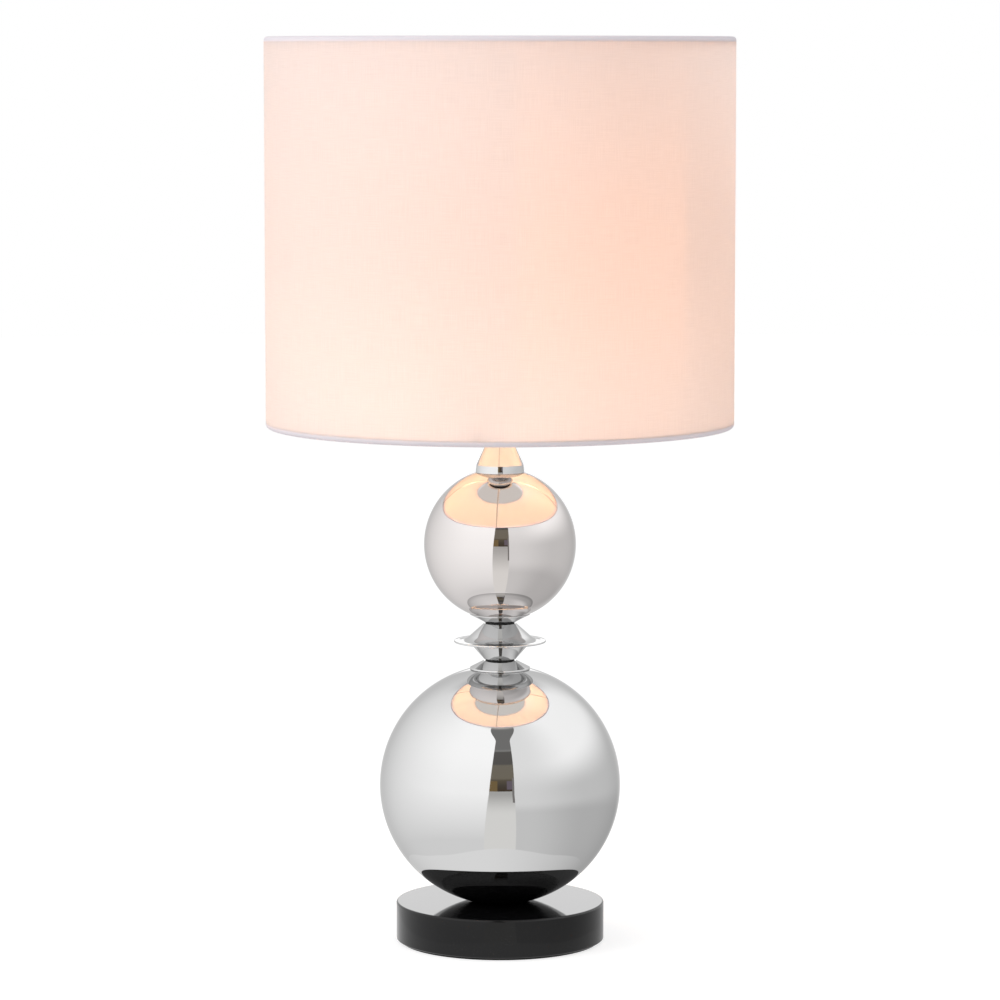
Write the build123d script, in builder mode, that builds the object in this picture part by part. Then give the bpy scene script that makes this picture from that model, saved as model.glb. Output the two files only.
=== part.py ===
from build123d import *
from math import asin, cos, degrees, radians, sin, sqrt, tan
import os

# Fabric table lamp: a stone base, two polished hollow spheres with a double-cone waist
# between them, and a fabric drum shade on a three-arm carrier, clamped by one hollow rod.
# Millimetres. The origin is the centre of the underside, +Z is up and -Y is the front.

# Fits
contact_gap = 0.02
thread_gap = 0.05
swivel_gap = 0.08
wire_play = 0.3
rod_play = 0.3

# Hollow rod
rod_radius = 5.0
rod_bore_radius = 3.6
rod_tail = 1.5
rod_top_engagement = 5.0
rod_hole_radius = rod_radius + rod_play

# Stone base and felt
felt_thickness = 1.5
felt_inset = 3.0
base_radius = 67.2
base_thickness = 24.6
base_top_round = 1.2
base_bottom_bevel = 0.6
recess_radius = 19.0
recess_depth = 13.0
seat_radius = 15.7
seat_depth = 3.0

# Base fasteners
base_washer_radius = 16.0
base_washer_thickness = 2.0
lock_washer_radius = 9.0
lock_washer_thickness = 1.6
lock_washer_split = 1.2
base_nut_flats = 16.0
base_nut_thickness = 5.0
nut_face_share = 0.95
nut_bevel_angle = radians(30)

# Cord inlet at the rear of the base
inlet_height = 9.8
inlet_hole_radius = 4.5
bushing_bore_radius = 3.2
bushing_length = 14.0
bushing_flange_radius = 6.8
bushing_flange_thickness = 1.6
bushing_edge_round = 0.6
spotface_depth = 0.6

# Spheres
big_ball_radius = 77.65
small_ball_radius = 48.9
ball_wall = 1.0

# Turned dishes over and under the waist
dish_neck_radius = 10.5
flange_rim_radius = 19.4
flange_height = 5.85
flange_rim_thickness = 1.2
flange_rim_bevel = 0.4
saucer_rim_radius = 19.35
saucer_rim_thickness = 0.55
saucer_floor = 1.2

# Gaskets
gasket_radius = 9.35
gasket_thickness = 1.1

# Waist
sheet = 1.2
waist_neck_radius = 10.4
waist_disc_radius = 29.7
waist_disc_rise = 12.0
waist_disc_bevel = 0.4
trumpet_height = 11.0
trumpet_angle = radians(42)
trumpet_root_radius = 12.0
waist_cone_rim_radius = 21.2

# Top cap
cap_radius = 15.7
cap_band_radius = 15.1
cap_band_height = 5.1
cap_neck_radius = 9.0
cap_cone_height = 13.3
top_nut_flats = 15.0
top_nut_thickness = 3.0

# Lampholder
holder_wall = 1.0
cup_neck_radius = 7.6
cup_neck_height = 2.5
cup_radius = 15.6
cup_dome_height = 8.0
cup_dome_fullness = 0.7
cup_height = 19.0
skirt_overlap = 6.0
skirt_ledge = 1.8
skirt_ledge_radius = 10.5
skirt_shoulder = 1.8
skirt_thread_radius = 14.0
skirt_bore_radius = 12.7
skirt_flange_radius = 18.2
skirt_flange_thickness = 3.2
skirt_flange_rise = 38.8
skirt_height_above_flange = 15.0
core_height = 25.0
core_floor = 10.2
shell_ledge = 2.3
shell_wall = 0.6
shell_height = 18.5
terminal_spacing = 11.2
terminal_head_radius = 2.6
terminal_head_height = 1.6
terminal_shank_radius = 1.4
terminal_shank_length = 8.0
terminal_slot = 0.7
contact_strip = 0.4
contact_rise = 1.4
contact_width = 4.0
contact_tail = 5.2
contact_heel = 2.2
contact_bend = 1.0
contact_nose = 2.4

# Bulb
bulb_thread_radius = 6.95
bulb_cap_wall = 0.5
bulb_cap_height = 17.0
bulb_cap_flare = 1.3
bulb_cap_flare_height = 2.4
bulb_tip_radius = 2.4
bulb_tip_height = 1.2
bulb_insulator_height = 2.0
bulb_insulator_inset = 0.7
bulb_length = 98.0
bulb_radius = 17.5
bulb_wall = 0.8
bulb_belly_share = 0.4
bulb_end_radius = 4.5

# Shade carrier
shade_drop = 30.6
fitter_ring_radius = 21.5
fitter_ring_thickness = 1.2
wire_radius = 1.5
front_arm_angle = -95.0
arm_count = 3
arm_flat_end_radius = 26.0
arm_bend_radius = 14.0
arm_weld_clearance = 0.5
ring_nut_height = 6.5
ring_nut_flange = 1.8
ring_nut_flange_radius = 20.4
ring_nut_body_radius = 17.4
ring_nut_ribs = 12
ring_nut_rib_width = 2.2
ring_nut_rib_depth = 1.2

# Shade
shade_radius = 150.0
shade_height = 248.6
cover_thickness = 0.6
liner_thickness = 0.45
hem_flap = 6.0
seam_width = 12.0
snip_width = 4.4
snip_drop = 1.35

# Heights, from the table upwards
base_bottom = felt_thickness
base_top = base_bottom + base_thickness
recess_top = base_bottom + recess_depth
big_ball_height = base_top + sqrt(big_ball_radius**2 - seat_radius**2)
flange_bottom = big_ball_height + sqrt(big_ball_radius**2 - flange_rim_radius**2)
flange_top = flange_bottom + flange_height
waist_bottom = flange_top + gasket_thickness
disc_top = waist_bottom + waist_disc_rise
waist_top = disc_top + trumpet_height
saucer_bottom = waist_top + gasket_thickness
small_ball_height = saucer_bottom + saucer_floor + small_ball_radius
saucer_rim_top = small_ball_height - sqrt(small_ball_radius**2 - saucer_rim_radius**2)
cap_bottom = small_ball_height + sqrt(small_ball_radius**2 - cap_radius**2)
cap_top = cap_bottom + cap_band_height + cap_cone_height
holder_bottom = cap_top + top_nut_thickness
cup_top = holder_bottom + cup_height
skirt_bottom = cup_top - skirt_overlap
carrier_seat = holder_bottom + skirt_flange_rise
skirt_top = carrier_seat + skirt_height_above_flange
core_bottom = skirt_bottom + skirt_ledge
contact_floor = core_bottom + core_floor
bulb_bottom = contact_floor + contact_rise + contact_gap
shade_bottom = carrier_seat - shade_drop
shade_top = shade_bottom + shade_height


def hexagon_nut(flats, thickness, bottom):
    """Hexagon nut for the rod, with the corners bevelled on both sides."""
    corner_radius = flats / sqrt(3)
    face_radius = flats / 2 * nut_face_share
    bevel = (corner_radius - face_radius) * tan(nut_bevel_angle)
    with BuildPart() as nut:
        with BuildSketch(Plane.XY.offset(bottom)):
            RegularPolygon(flats / 2, 6, major_radius=False)
        extrude(amount=thickness)
        with BuildSketch(Plane.XZ):
            with BuildLine():
                Polyline(
                    (rod_radius + thread_gap, bottom),
                    (face_radius, bottom),
                    (corner_radius, bottom + bevel),
                    (corner_radius, bottom + thickness - bevel),
                    (face_radius, bottom + thickness),
                    (rod_radius + thread_gap, bottom + thickness),
                    close=True,
                )
            make_face()
        revolve(axis=Axis.Z, mode=Mode.INTERSECT)
    return nut


def hollow_ball(radius, height):
    """Thin-walled sphere on the rod, with a hole at each pole."""
    with BuildPart(Plane.XY.offset(height)) as ball:
        Sphere(radius)
        Sphere(radius - ball_wall, mode=Mode.SUBTRACT)
        Cylinder(rod_hole_radius, 2 * radius + 2 * ball_wall, mode=Mode.SUBTRACT)
    return ball


def wire_ring(height):
    """One of the two wires that hold the shade round."""
    with BuildPart(Plane.XY.offset(height)) as ring:
        Torus(wire_ring_radius, wire_radius)
    return ring


# Felt pad under the stone
with BuildPart() as felt_pad:
    with BuildSketch():
        Circle(base_radius - felt_inset)
    extrude(amount=felt_thickness)

# Stone base: recess for the nut below, seat for the big sphere above, cord inlet behind
rear_seat = Plane(
    origin=(0, base_radius - spotface_depth, inlet_height), x_dir=(-1, 0, 0), z_dir=(0, 1, 0)
)
with BuildPart() as stone_base:
    with BuildSketch(Plane.XY.offset(base_bottom)):
        Circle(base_radius)
    extrude(amount=base_thickness)
    fillet(stone_base.edges().group_by(Axis.Z)[-1], radius=base_top_round)
    chamfer(stone_base.edges().group_by(Axis.Z)[0], length=base_bottom_bevel)
    with Locations(Plane(origin=(0, 0, base_bottom), z_dir=(0, 0, -1))):
        CounterBoreHole(rod_hole_radius, recess_radius, recess_depth)
    with Locations((0, 0, base_top)):
        Hole(seat_radius + contact_gap, depth=seat_depth)
    with BuildSketch(rear_seat):
        Circle(inlet_hole_radius)
    extrude(amount=-base_radius + spotface_depth, mode=Mode.SUBTRACT)
    with BuildSketch(rear_seat):
        Circle(bushing_flange_radius + contact_gap)
    extrude(amount=base_radius, mode=Mode.SUBTRACT)

# Cord inlet bushing, pressed into the stone from behind
with BuildPart() as cord_bushing:
    with BuildSketch(rear_seat):
        Circle(bushing_flange_radius)
    extrude(amount=bushing_flange_thickness)
    fillet(cord_bushing.edges().group_by(Axis.Y)[-1], radius=bushing_edge_round)
    with BuildSketch(rear_seat):
        Circle(inlet_hole_radius - contact_gap)
    extrude(amount=-bushing_length)
    with BuildSketch(rear_seat.offset(bushing_flange_thickness)):
        Circle(bushing_bore_radius)
    extrude(amount=-bushing_length - bushing_flange_thickness, mode=Mode.SUBTRACT)
    mouth = cord_bushing.edges().group_by(Axis.Y)[-1].sort_by(SortBy.RADIUS)[0]
    fillet(mouth, radius=bushing_edge_round)

# Wide washer, split lock washer and nut in the recess
base_washer_bottom = recess_top - base_washer_thickness
lock_washer_bottom = base_washer_bottom - lock_washer_thickness
base_nut_bottom = lock_washer_bottom - base_nut_thickness

with BuildPart() as base_washer:
    with BuildSketch(Plane.XY.offset(base_washer_bottom)):
        Circle(base_washer_radius)
        Circle(rod_hole_radius, mode=Mode.SUBTRACT)
    extrude(amount=base_washer_thickness)

with BuildPart() as lock_washer:
    with BuildSketch(Plane.XY.offset(lock_washer_bottom)):
        Circle(lock_washer_radius)
        Circle(rod_hole_radius, mode=Mode.SUBTRACT)
        with Locations((0, lock_washer_radius)):
            Rectangle(lock_washer_split, 2 * lock_washer_radius, mode=Mode.SUBTRACT)
    extrude(amount=lock_washer_thickness)

base_nut = hexagon_nut(base_nut_flats, base_nut_thickness, base_nut_bottom)

# Hollow rod, from the recess to the lampholder
rod_bottom = base_nut_bottom - rod_tail
rod_top = holder_bottom + rod_top_engagement
with BuildPart() as threaded_rod:
    with BuildSketch(Plane.XY.offset(rod_bottom)):
        Circle(rod_radius)
        Circle(rod_bore_radius, mode=Mode.SUBTRACT)
    extrude(amount=rod_top - rod_bottom)

# Dished rubber seat between the stone and the big sphere
with BuildPart() as ball_seat:
    with BuildSketch(Plane.XY.offset(base_top - seat_depth)):
        Circle(seat_radius)
        Circle(rod_hole_radius, mode=Mode.SUBTRACT)
    extrude(amount=seat_depth)
    with Locations((0, 0, big_ball_height)):
        Sphere(big_ball_radius + contact_gap, mode=Mode.SUBTRACT)

# Spheres
big_ball = hollow_ball(big_ball_radius, big_ball_height)
small_ball = hollow_ball(small_ball_radius, small_ball_height)

# Turned dish on the big sphere, rim down, with a face that fits the sphere
with BuildPart() as lower_flange:
    with BuildSketch(Plane.XZ):
        with BuildLine():
            Polyline(
                (rod_hole_radius, flange_bottom),
                (flange_rim_radius, flange_bottom),
                (flange_rim_radius, flange_bottom + flange_rim_thickness),
                (dish_neck_radius, flange_top),
                (rod_hole_radius, flange_top),
                close=True,
            )
        make_face()
    revolve(axis=Axis.Z)
    rim = lower_flange.edges().filter_by(GeomType.CIRCLE).sort_by(SortBy.RADIUS)[-2:]
    chamfer(rim, length=flange_rim_bevel)
    with Locations((0, 0, big_ball_height)):
        Sphere(big_ball_radius + contact_gap, mode=Mode.SUBTRACT)

# Turned dish under the small sphere, rim up
with BuildPart() as upper_saucer:
    with BuildSketch(Plane.XZ):
        with BuildLine():
            Polyline(
                (rod_hole_radius, saucer_bottom),
                (dish_neck_radius, saucer_bottom),
                (saucer_rim_radius, saucer_rim_top - saucer_rim_thickness),
                (saucer_rim_radius, saucer_rim_top),
                (rod_hole_radius, saucer_rim_top),
                close=True,
            )
        make_face()
    revolve(axis=Axis.Z)
    with Locations((0, 0, small_ball_height)):
        Sphere(small_ball_radius + contact_gap, mode=Mode.SUBTRACT)

# Gaskets under and over the waist
with BuildPart() as lower_gasket:
    with BuildSketch(Plane.XY.offset(flange_top)):
        Circle(gasket_radius)
        Circle(rod_hole_radius, mode=Mode.SUBTRACT)
    extrude(amount=gasket_thickness)

with BuildPart() as upper_gasket:
    with BuildSketch(Plane.XY.offset(waist_top)):
        Circle(gasket_radius)
        Circle(rod_hole_radius, mode=Mode.SUBTRACT)
    extrude(amount=gasket_thickness)

# Spun trumpet of the waist: a cone that runs out through an arc into a wide flat disc
arc_height = trumpet_root_radius * (1 - cos(trumpet_angle))
arc_reach = trumpet_root_radius * sin(trumpet_angle)
arc_top_radius = waist_neck_radius + (trumpet_height - arc_height) / tan(trumpet_angle)
arc_foot_radius = arc_top_radius + arc_reach
inner_arc_radius = trumpet_root_radius + sheet
half_angle = trumpet_angle / 2
with BuildPart() as waist_disc:
    with BuildSketch(Plane.XZ):
        with BuildLine():
            Line((waist_disc_radius, disc_top - sheet), (waist_disc_radius, disc_top))
            Line((waist_disc_radius, disc_top), (arc_foot_radius, disc_top))
            ThreePointArc(
                (arc_foot_radius, disc_top),
                (
                    arc_foot_radius - trumpet_root_radius * sin(half_angle),
                    disc_top + trumpet_root_radius * (1 - cos(half_angle)),
                ),
                (arc_top_radius, disc_top + arc_height),
            )
            Polyline(
                (arc_top_radius, disc_top + arc_height),
                (waist_neck_radius, waist_top),
                (rod_hole_radius, waist_top),
                (rod_hole_radius, waist_top - sheet),
                (waist_neck_radius - sheet * tan(half_angle), waist_top - sheet),
                (
                    arc_foot_radius - inner_arc_radius * sin(trumpet_angle),
                    disc_top + trumpet_root_radius - inner_arc_radius * cos(trumpet_angle),
                ),
            )
            ThreePointArc(
                (
                    arc_foot_radius - inner_arc_radius * sin(trumpet_angle),
                    disc_top + trumpet_root_radius - inner_arc_radius * cos(trumpet_angle),
                ),
                (
                    arc_foot_radius - inner_arc_radius * sin(half_angle),
                    disc_top + trumpet_root_radius - inner_arc_radius * cos(half_angle),
                ),
                (arc_foot_radius, disc_top - sheet),
            )
            Line((arc_foot_radius, disc_top - sheet), (waist_disc_radius, disc_top - sheet))
        make_face()
    revolve(axis=Axis.Z)
    rim = waist_disc.edges().filter_by(GeomType.CIRCLE).sort_by(SortBy.RADIUS)[-2:]
    chamfer(rim, length=waist_disc_bevel)

# Plain spun cone below, whose rim meets the underside of the trumpet
cone_rim_reach = arc_foot_radius - waist_cone_rim_radius
cone_rim_height = (
    disc_top + trumpet_root_radius - sqrt(inner_arc_radius**2 - cone_rim_reach**2) - contact_gap
)
cone_rise = cone_rim_height - waist_bottom
cone_spread = waist_cone_rim_radius - waist_neck_radius
cone_slant = sqrt(cone_rise**2 + cone_spread**2)
cone_wall_across = sheet * cone_slant / cone_rise
cone_floor_radius = waist_neck_radius + sheet * cone_spread / cone_rise - cone_wall_across
with BuildPart() as waist_cone:
    with BuildSketch(Plane.XZ):
        with BuildLine():
            Polyline(
                (rod_hole_radius, waist_bottom),
                (waist_neck_radius, waist_bottom),
                (waist_cone_rim_radius, cone_rim_height),
                (waist_cone_rim_radius - cone_wall_across, cone_rim_height),
                (cone_floor_radius, waist_bottom + sheet),
                (rod_hole_radius, waist_bottom + sheet),
                close=True,
            )
        make_face()
    revolve(axis=Axis.Z)

# Spun cap on the small sphere: an upright band and a tall cone
band_top = cap_bottom + cap_band_height
cap_lean = (cap_band_radius - cap_neck_radius) / cap_cone_height
cap_wall_across = sheet * sqrt(1 + cap_lean**2)
with BuildPart() as top_cap:
    with BuildSketch(Plane.XZ):
        with BuildLine():
            Polyline(
                (cap_radius, cap_bottom),
                (cap_band_radius, band_top),
                (cap_neck_radius, cap_top),
                (rod_hole_radius, cap_top),
                (rod_hole_radius, cap_top - sheet),
                (cap_neck_radius + sheet * cap_lean - cap_wall_across, cap_top - sheet),
                (cap_band_radius - sheet, band_top - (cap_wall_across - sheet) / cap_lean),
                (cap_radius - sheet, cap_bottom),
                close=True,
            )
        make_face()
    revolve(axis=Axis.Z)
    with Locations((0, 0, small_ball_height)):
        Sphere(small_ball_radius + contact_gap, mode=Mode.SUBTRACT)

top_nut = hexagon_nut(top_nut_flats, top_nut_thickness, cap_top)

# Lampholder cup: a threaded neck, a dome and an upright rim
dome_bottom = holder_bottom + cup_neck_height
dome_top = dome_bottom + cup_dome_height
cup_inner_radius = cup_radius - holder_wall
cup_floor = holder_bottom + rod_top_engagement
with BuildPart() as holder_cup:
    with BuildSketch(Plane.XZ):
        with BuildLine():
            Line((cup_neck_radius, holder_bottom), (cup_neck_radius, dome_bottom))
            ThreePointArc(
                (cup_neck_radius, dome_bottom),
                (
                    cup_neck_radius + (cup_radius - cup_neck_radius) * cup_dome_fullness,
                    dome_bottom + cup_dome_height * (1 - cup_dome_fullness),
                ),
                (cup_radius, dome_top),
            )
            Polyline(
                (cup_radius, dome_top),
                (cup_radius, cup_top),
                (cup_inner_radius, cup_top),
                (cup_inner_radius, dome_top),
                (cup_neck_radius + holder_wall, cup_floor),
                (rod_radius + thread_gap, cup_floor),
                (rod_radius + thread_gap, holder_bottom),
                (cup_neck_radius, holder_bottom),
            )
        make_face()
    revolve(axis=Axis.Z)

# Lampholder skirt: collar inside the cup, shoulder, thread and the fixed flange
collar_radius = cup_inner_radius - thread_gap
shoulder_bottom = cup_top + contact_gap
with BuildPart() as holder_skirt:
    with BuildSketch(Plane.XZ):
        with BuildLine():
            Polyline(
                (skirt_ledge_radius, skirt_bottom),
                (collar_radius, skirt_bottom),
                (collar_radius, shoulder_bottom),
                (cup_radius, shoulder_bottom),
                (cup_radius, shoulder_bottom + skirt_shoulder),
                (skirt_thread_radius, shoulder_bottom + skirt_shoulder),
                (skirt_thread_radius, carrier_seat - skirt_flange_thickness),
                (skirt_flange_radius, carrier_seat - skirt_flange_thickness),
                (skirt_flange_radius, carrier_seat),
                (skirt_thread_radius, carrier_seat),
                (skirt_thread_radius, skirt_top),
                (skirt_bore_radius, skirt_top),
                (skirt_bore_radius, core_bottom),
                (skirt_ledge_radius, core_bottom),
                close=True,
            )
        make_face()
    revolve(axis=Axis.Z)

# Ceramic core on the skirt's ledge, with the stepped bore for the screw shell
shell_radius = bulb_thread_radius + swivel_gap + shell_wall
shell_bottom = contact_floor + shell_ledge
core_top = core_bottom + core_height
terminals = GridLocations(terminal_spacing, 0, 2, 1)
with BuildPart() as holder_core:
    with BuildSketch(Plane.XY.offset(core_bottom)):
        Circle(skirt_bore_radius - thread_gap)
    extrude(amount=core_height)
    with BuildSketch(Plane.XY.offset(shell_bottom)):
        Circle(shell_radius + thread_gap)
    extrude(amount=core_height, mode=Mode.SUBTRACT)
    with BuildSketch(Plane.XY.offset(contact_floor)):
        Circle(shell_radius - shell_wall)
    extrude(amount=shell_ledge, mode=Mode.SUBTRACT)
    with BuildSketch(Plane.XY.offset(core_bottom)):
        with terminals:
            Circle(terminal_shank_radius + thread_gap)
    extrude(amount=terminal_shank_length + contact_gap, mode=Mode.SUBTRACT)

# Two terminal screws under the core
with BuildPart() as terminal_screws:
    with BuildSketch(Plane.XY.offset(core_bottom)):
        with terminals:
            Circle(terminal_shank_radius)
    extrude(amount=terminal_shank_length)
    with BuildSketch(Plane.XY.offset(core_bottom)):
        with terminals:
            Circle(terminal_head_radius)
    extrude(amount=-terminal_head_height)
    with BuildSketch(Plane.XY.offset(core_bottom - terminal_head_height)):
        with terminals:
            Rectangle(terminal_slot, 3 * terminal_head_radius)
    extrude(amount=terminal_head_height / 2, mode=Mode.SUBTRACT)

# Brass screw shell and the leaf that presses on the bulb's tip
with BuildPart() as screw_shell:
    with BuildSketch(Plane.XY.offset(shell_bottom)):
        Circle(shell_radius)
        Circle(shell_radius - shell_wall, mode=Mode.SUBTRACT)
    extrude(amount=shell_height)

with BuildPart() as centre_contact:
    with BuildSketch(Plane.XZ):
        with BuildLine():
            Polyline(
                (-contact_tail, contact_floor),
                (-contact_heel, contact_floor),
                (-contact_bend, contact_floor + contact_rise - contact_strip),
                (contact_nose, contact_floor + contact_rise - contact_strip),
                (contact_nose, contact_floor + contact_rise),
                (-contact_bend - contact_strip, contact_floor + contact_rise),
                (-contact_heel - contact_strip, contact_floor + contact_strip),
                (-contact_tail, contact_floor + contact_strip),
                close=True,
            )
        make_face()
    extrude(amount=contact_width / 2, both=True)

# Bulb: contact button, glass insulator, screw cap and candle envelope
insulator_bottom = bulb_bottom + bulb_tip_height
bulb_cap_bottom = insulator_bottom + bulb_insulator_height
bulb_cap_top = bulb_cap_bottom + bulb_cap_height
bulb_top = bulb_bottom + bulb_length
flare_radius = bulb_thread_radius + bulb_cap_flare
with BuildPart() as bulb_tip:
    with BuildSketch(Plane.XY.offset(bulb_bottom)):
        Circle(bulb_tip_radius)
    extrude(amount=bulb_tip_height)
    fillet(bulb_tip.edges().group_by(Axis.Z)[0], radius=bulb_tip_height / 2)

with BuildPart() as bulb_insulator:
    with BuildSketch(Plane.XZ):
        with BuildLine():
            Polyline(
                (0, insulator_bottom),
                (bulb_tip_radius, insulator_bottom),
                (bulb_thread_radius - bulb_insulator_inset, bulb_cap_bottom),
                (0, bulb_cap_bottom),
                close=True,
            )
        make_face()
    revolve(axis=Axis.Z)

with BuildPart() as bulb_cap:
    with BuildSketch(Plane.XZ):
        with BuildLine():
            Polyline(
                (0, bulb_cap_bottom),
                (bulb_thread_radius - bulb_insulator_inset, bulb_cap_bottom),
                (bulb_thread_radius, bulb_cap_bottom + bulb_insulator_inset),
                (bulb_thread_radius, bulb_cap_top),
                (flare_radius, bulb_cap_top + bulb_cap_flare_height),
                (flare_radius - bulb_cap_wall, bulb_cap_top + bulb_cap_flare_height),
                (bulb_thread_radius - bulb_cap_wall, bulb_cap_top),
                (bulb_thread_radius - bulb_cap_wall, bulb_cap_bottom + bulb_cap_wall),
                (0, bulb_cap_bottom + bulb_cap_wall),
                close=True,
            )
        make_face()
    revolve(axis=Axis.Z)

glass_bottom = bulb_cap_top + bulb_cap_flare_height + contact_gap
belly_rise = (bulb_top - glass_bottom) * bulb_belly_share
belly_height = glass_bottom + belly_rise
neck_inset = bulb_radius - flare_radius
neck_arc_radius = (neck_inset**2 + belly_rise**2) / (2 * neck_inset)
neck_arc_angle = degrees(asin(belly_rise / neck_arc_radius))
end_height = bulb_top - bulb_end_radius
taper_rise = end_height - belly_height
taper_arc_radius = (bulb_radius**2 + taper_rise**2 - bulb_end_radius**2) / (
    2 * (bulb_radius - bulb_end_radius)
)
taper_arc_angle = degrees(asin(taper_rise / (taper_arc_radius - bulb_end_radius)))
with BuildPart() as bulb_glass:
    for inset, mode in ((0, Mode.ADD), (bulb_wall, Mode.SUBTRACT)):
        with BuildSketch(Plane.XZ):
            with BuildLine():
                neck = CenterArc(
                    (bulb_radius - neck_arc_radius, belly_height),
                    neck_arc_radius - inset,
                    -neck_arc_angle,
                    neck_arc_angle,
                )
                CenterArc(
                    (bulb_radius - taper_arc_radius, belly_height),
                    taper_arc_radius - inset,
                    0,
                    taper_arc_angle,
                )
                end = CenterArc(
                    (0, end_height), bulb_end_radius - inset, taper_arc_angle, 90 - taper_arc_angle
                )
                Polyline(end @ 1, (0, (neck @ 0).Y), neck @ 0)
            make_face()
        revolve(axis=Axis.Z, mode=mode)

# Carrier ring on the skirt's flange
fitter_bottom = carrier_seat + contact_gap
fitter_bore_radius = skirt_thread_radius + swivel_gap
with BuildPart() as fitter_ring:
    with BuildSketch(Plane.XY.offset(fitter_bottom)):
        Circle(fitter_ring_radius)
        Circle(fitter_bore_radius, mode=Mode.SUBTRACT)
    extrude(amount=fitter_ring_thickness)

# Wires in the rolled edges of the shade
roll_radius = wire_radius + wire_play + cover_thickness
wire_ring_radius = shade_radius - roll_radius
lower_wire_height = shade_bottom + roll_radius
upper_wire_height = shade_top - roll_radius
shade_bottom_ring = wire_ring(lower_wire_height)
shade_top_ring = wire_ring(upper_wire_height)

# Three arms, welded under the carrier ring and to the inside of the lower wire
arm_angles = [front_arm_angle + 360 / arm_count * arm for arm in range(arm_count)]
arm_planes = [Plane.XZ.rotated((0, 0, angle)) for angle in arm_angles]
arm_start_radius = skirt_flange_radius + arm_weld_clearance
arm_start_height = fitter_bottom - contact_gap / 2 - wire_radius
with BuildPart() as fitter_arms:
    for arm_plane in arm_planes:
        with BuildLine(arm_plane) as route:
            FilletPolyline(
                (arm_start_radius, arm_start_height),
                (arm_flat_end_radius, arm_start_height),
                (wire_ring_radius, lower_wire_height),
                radius=arm_bend_radius,
            )
        with BuildSketch(Plane(origin=route.line @ 0, z_dir=route.line % 0)):
            Circle(wire_radius)
        sweep(path=route.line)
    with Locations((0, 0, lower_wire_height)):
        Torus(wire_ring_radius, wire_radius + contact_gap / 2, mode=Mode.SUBTRACT)

# Threaded ring that clamps the carrier ring, with grip ribs
nut_bottom = fitter_bottom + fitter_ring_thickness + contact_gap
nut_bore_radius = skirt_thread_radius + thread_gap
rib_centre_radius = ring_nut_body_radius + ring_nut_rib_depth / 2
with BuildPart() as shade_ring_nut:
    with BuildSketch(Plane.XY.offset(nut_bottom)):
        Circle(ring_nut_flange_radius)
        Circle(nut_bore_radius, mode=Mode.SUBTRACT)
    extrude(amount=ring_nut_flange)
    with BuildSketch(Plane.XY.offset(nut_bottom)):
        Circle(ring_nut_body_radius)
        with PolarLocations(rib_centre_radius, ring_nut_ribs):
            Rectangle(2 * ring_nut_rib_depth, ring_nut_rib_width)
        Circle(nut_bore_radius, mode=Mode.SUBTRACT)
    extrude(amount=ring_nut_height)

# Stiff liner inside the fabric, with the glued overlap of its ends behind
liner_outer_radius = shade_radius - cover_thickness - contact_gap
liner_inner_radius = liner_outer_radius - liner_thickness
liner_bottom = lower_wire_height + wire_radius + wire_play
liner_top = upper_wire_height - wire_radius - wire_play
with BuildPart() as shade_liner:
    with BuildSketch(Plane.XY.offset(liner_bottom)):
        Circle(liner_outer_radius)
        Circle(liner_inner_radius, mode=Mode.SUBTRACT)
    extrude(amount=liner_top - liner_bottom)
    with BuildSketch(Plane.XY.offset(liner_bottom)):
        Circle(liner_outer_radius)
        Circle(liner_inner_radius - liner_thickness, mode=Mode.SUBTRACT)
        with Locations((0, shade_radius)):
            Rectangle(seam_width, shade_radius, mode=Mode.INTERSECT)
    extrude(amount=liner_top - liner_bottom)

# Fabric cover, rolled round both wires and snipped where the arms come through
flap_outer_radius = wire_ring_radius - roll_radius + cover_thickness
flap_inner_radius = wire_ring_radius - roll_radius
cover_inner_radius = shade_radius - cover_thickness
inner_roll = roll_radius - cover_thickness
with BuildPart() as shade_cover:
    with BuildSketch(Plane.XZ):
        with BuildLine():
            Line((shade_radius, lower_wire_height), (shade_radius, upper_wire_height))
            ThreePointArc(
                (shade_radius, upper_wire_height),
                (wire_ring_radius, shade_top),
                (flap_inner_radius, upper_wire_height),
            )
            Polyline(
                (flap_inner_radius, upper_wire_height),
                (flap_inner_radius, upper_wire_height - hem_flap),
                (flap_outer_radius, upper_wire_height - hem_flap),
                (flap_outer_radius, upper_wire_height),
            )
            ThreePointArc(
                (flap_outer_radius, upper_wire_height),
                (wire_ring_radius, upper_wire_height + inner_roll),
                (cover_inner_radius, upper_wire_height),
            )
            Line((cover_inner_radius, upper_wire_height), (cover_inner_radius, lower_wire_height))
            ThreePointArc(
                (cover_inner_radius, lower_wire_height),
                (wire_ring_radius, lower_wire_height - inner_roll),
                (flap_outer_radius, lower_wire_height),
            )
            Polyline(
                (flap_outer_radius, lower_wire_height),
                (flap_outer_radius, lower_wire_height + hem_flap),
                (flap_inner_radius, lower_wire_height + hem_flap),
                (flap_inner_radius, lower_wire_height),
            )
            ThreePointArc(
                (flap_inner_radius, lower_wire_height),
                (wire_ring_radius, shade_bottom),
                (shade_radius, lower_wire_height),
            )
        make_face()
    revolve(axis=Axis.Z)
    with BuildSketch(Plane.XY.offset(lower_wire_height - snip_drop)):
        with PolarLocations(flap_outer_radius, arm_count, start_angle=front_arm_angle):
            Rectangle(4 * cover_thickness, snip_width)
    extrude(amount=snip_drop + 2 * hem_flap, mode=Mode.SUBTRACT)

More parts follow.
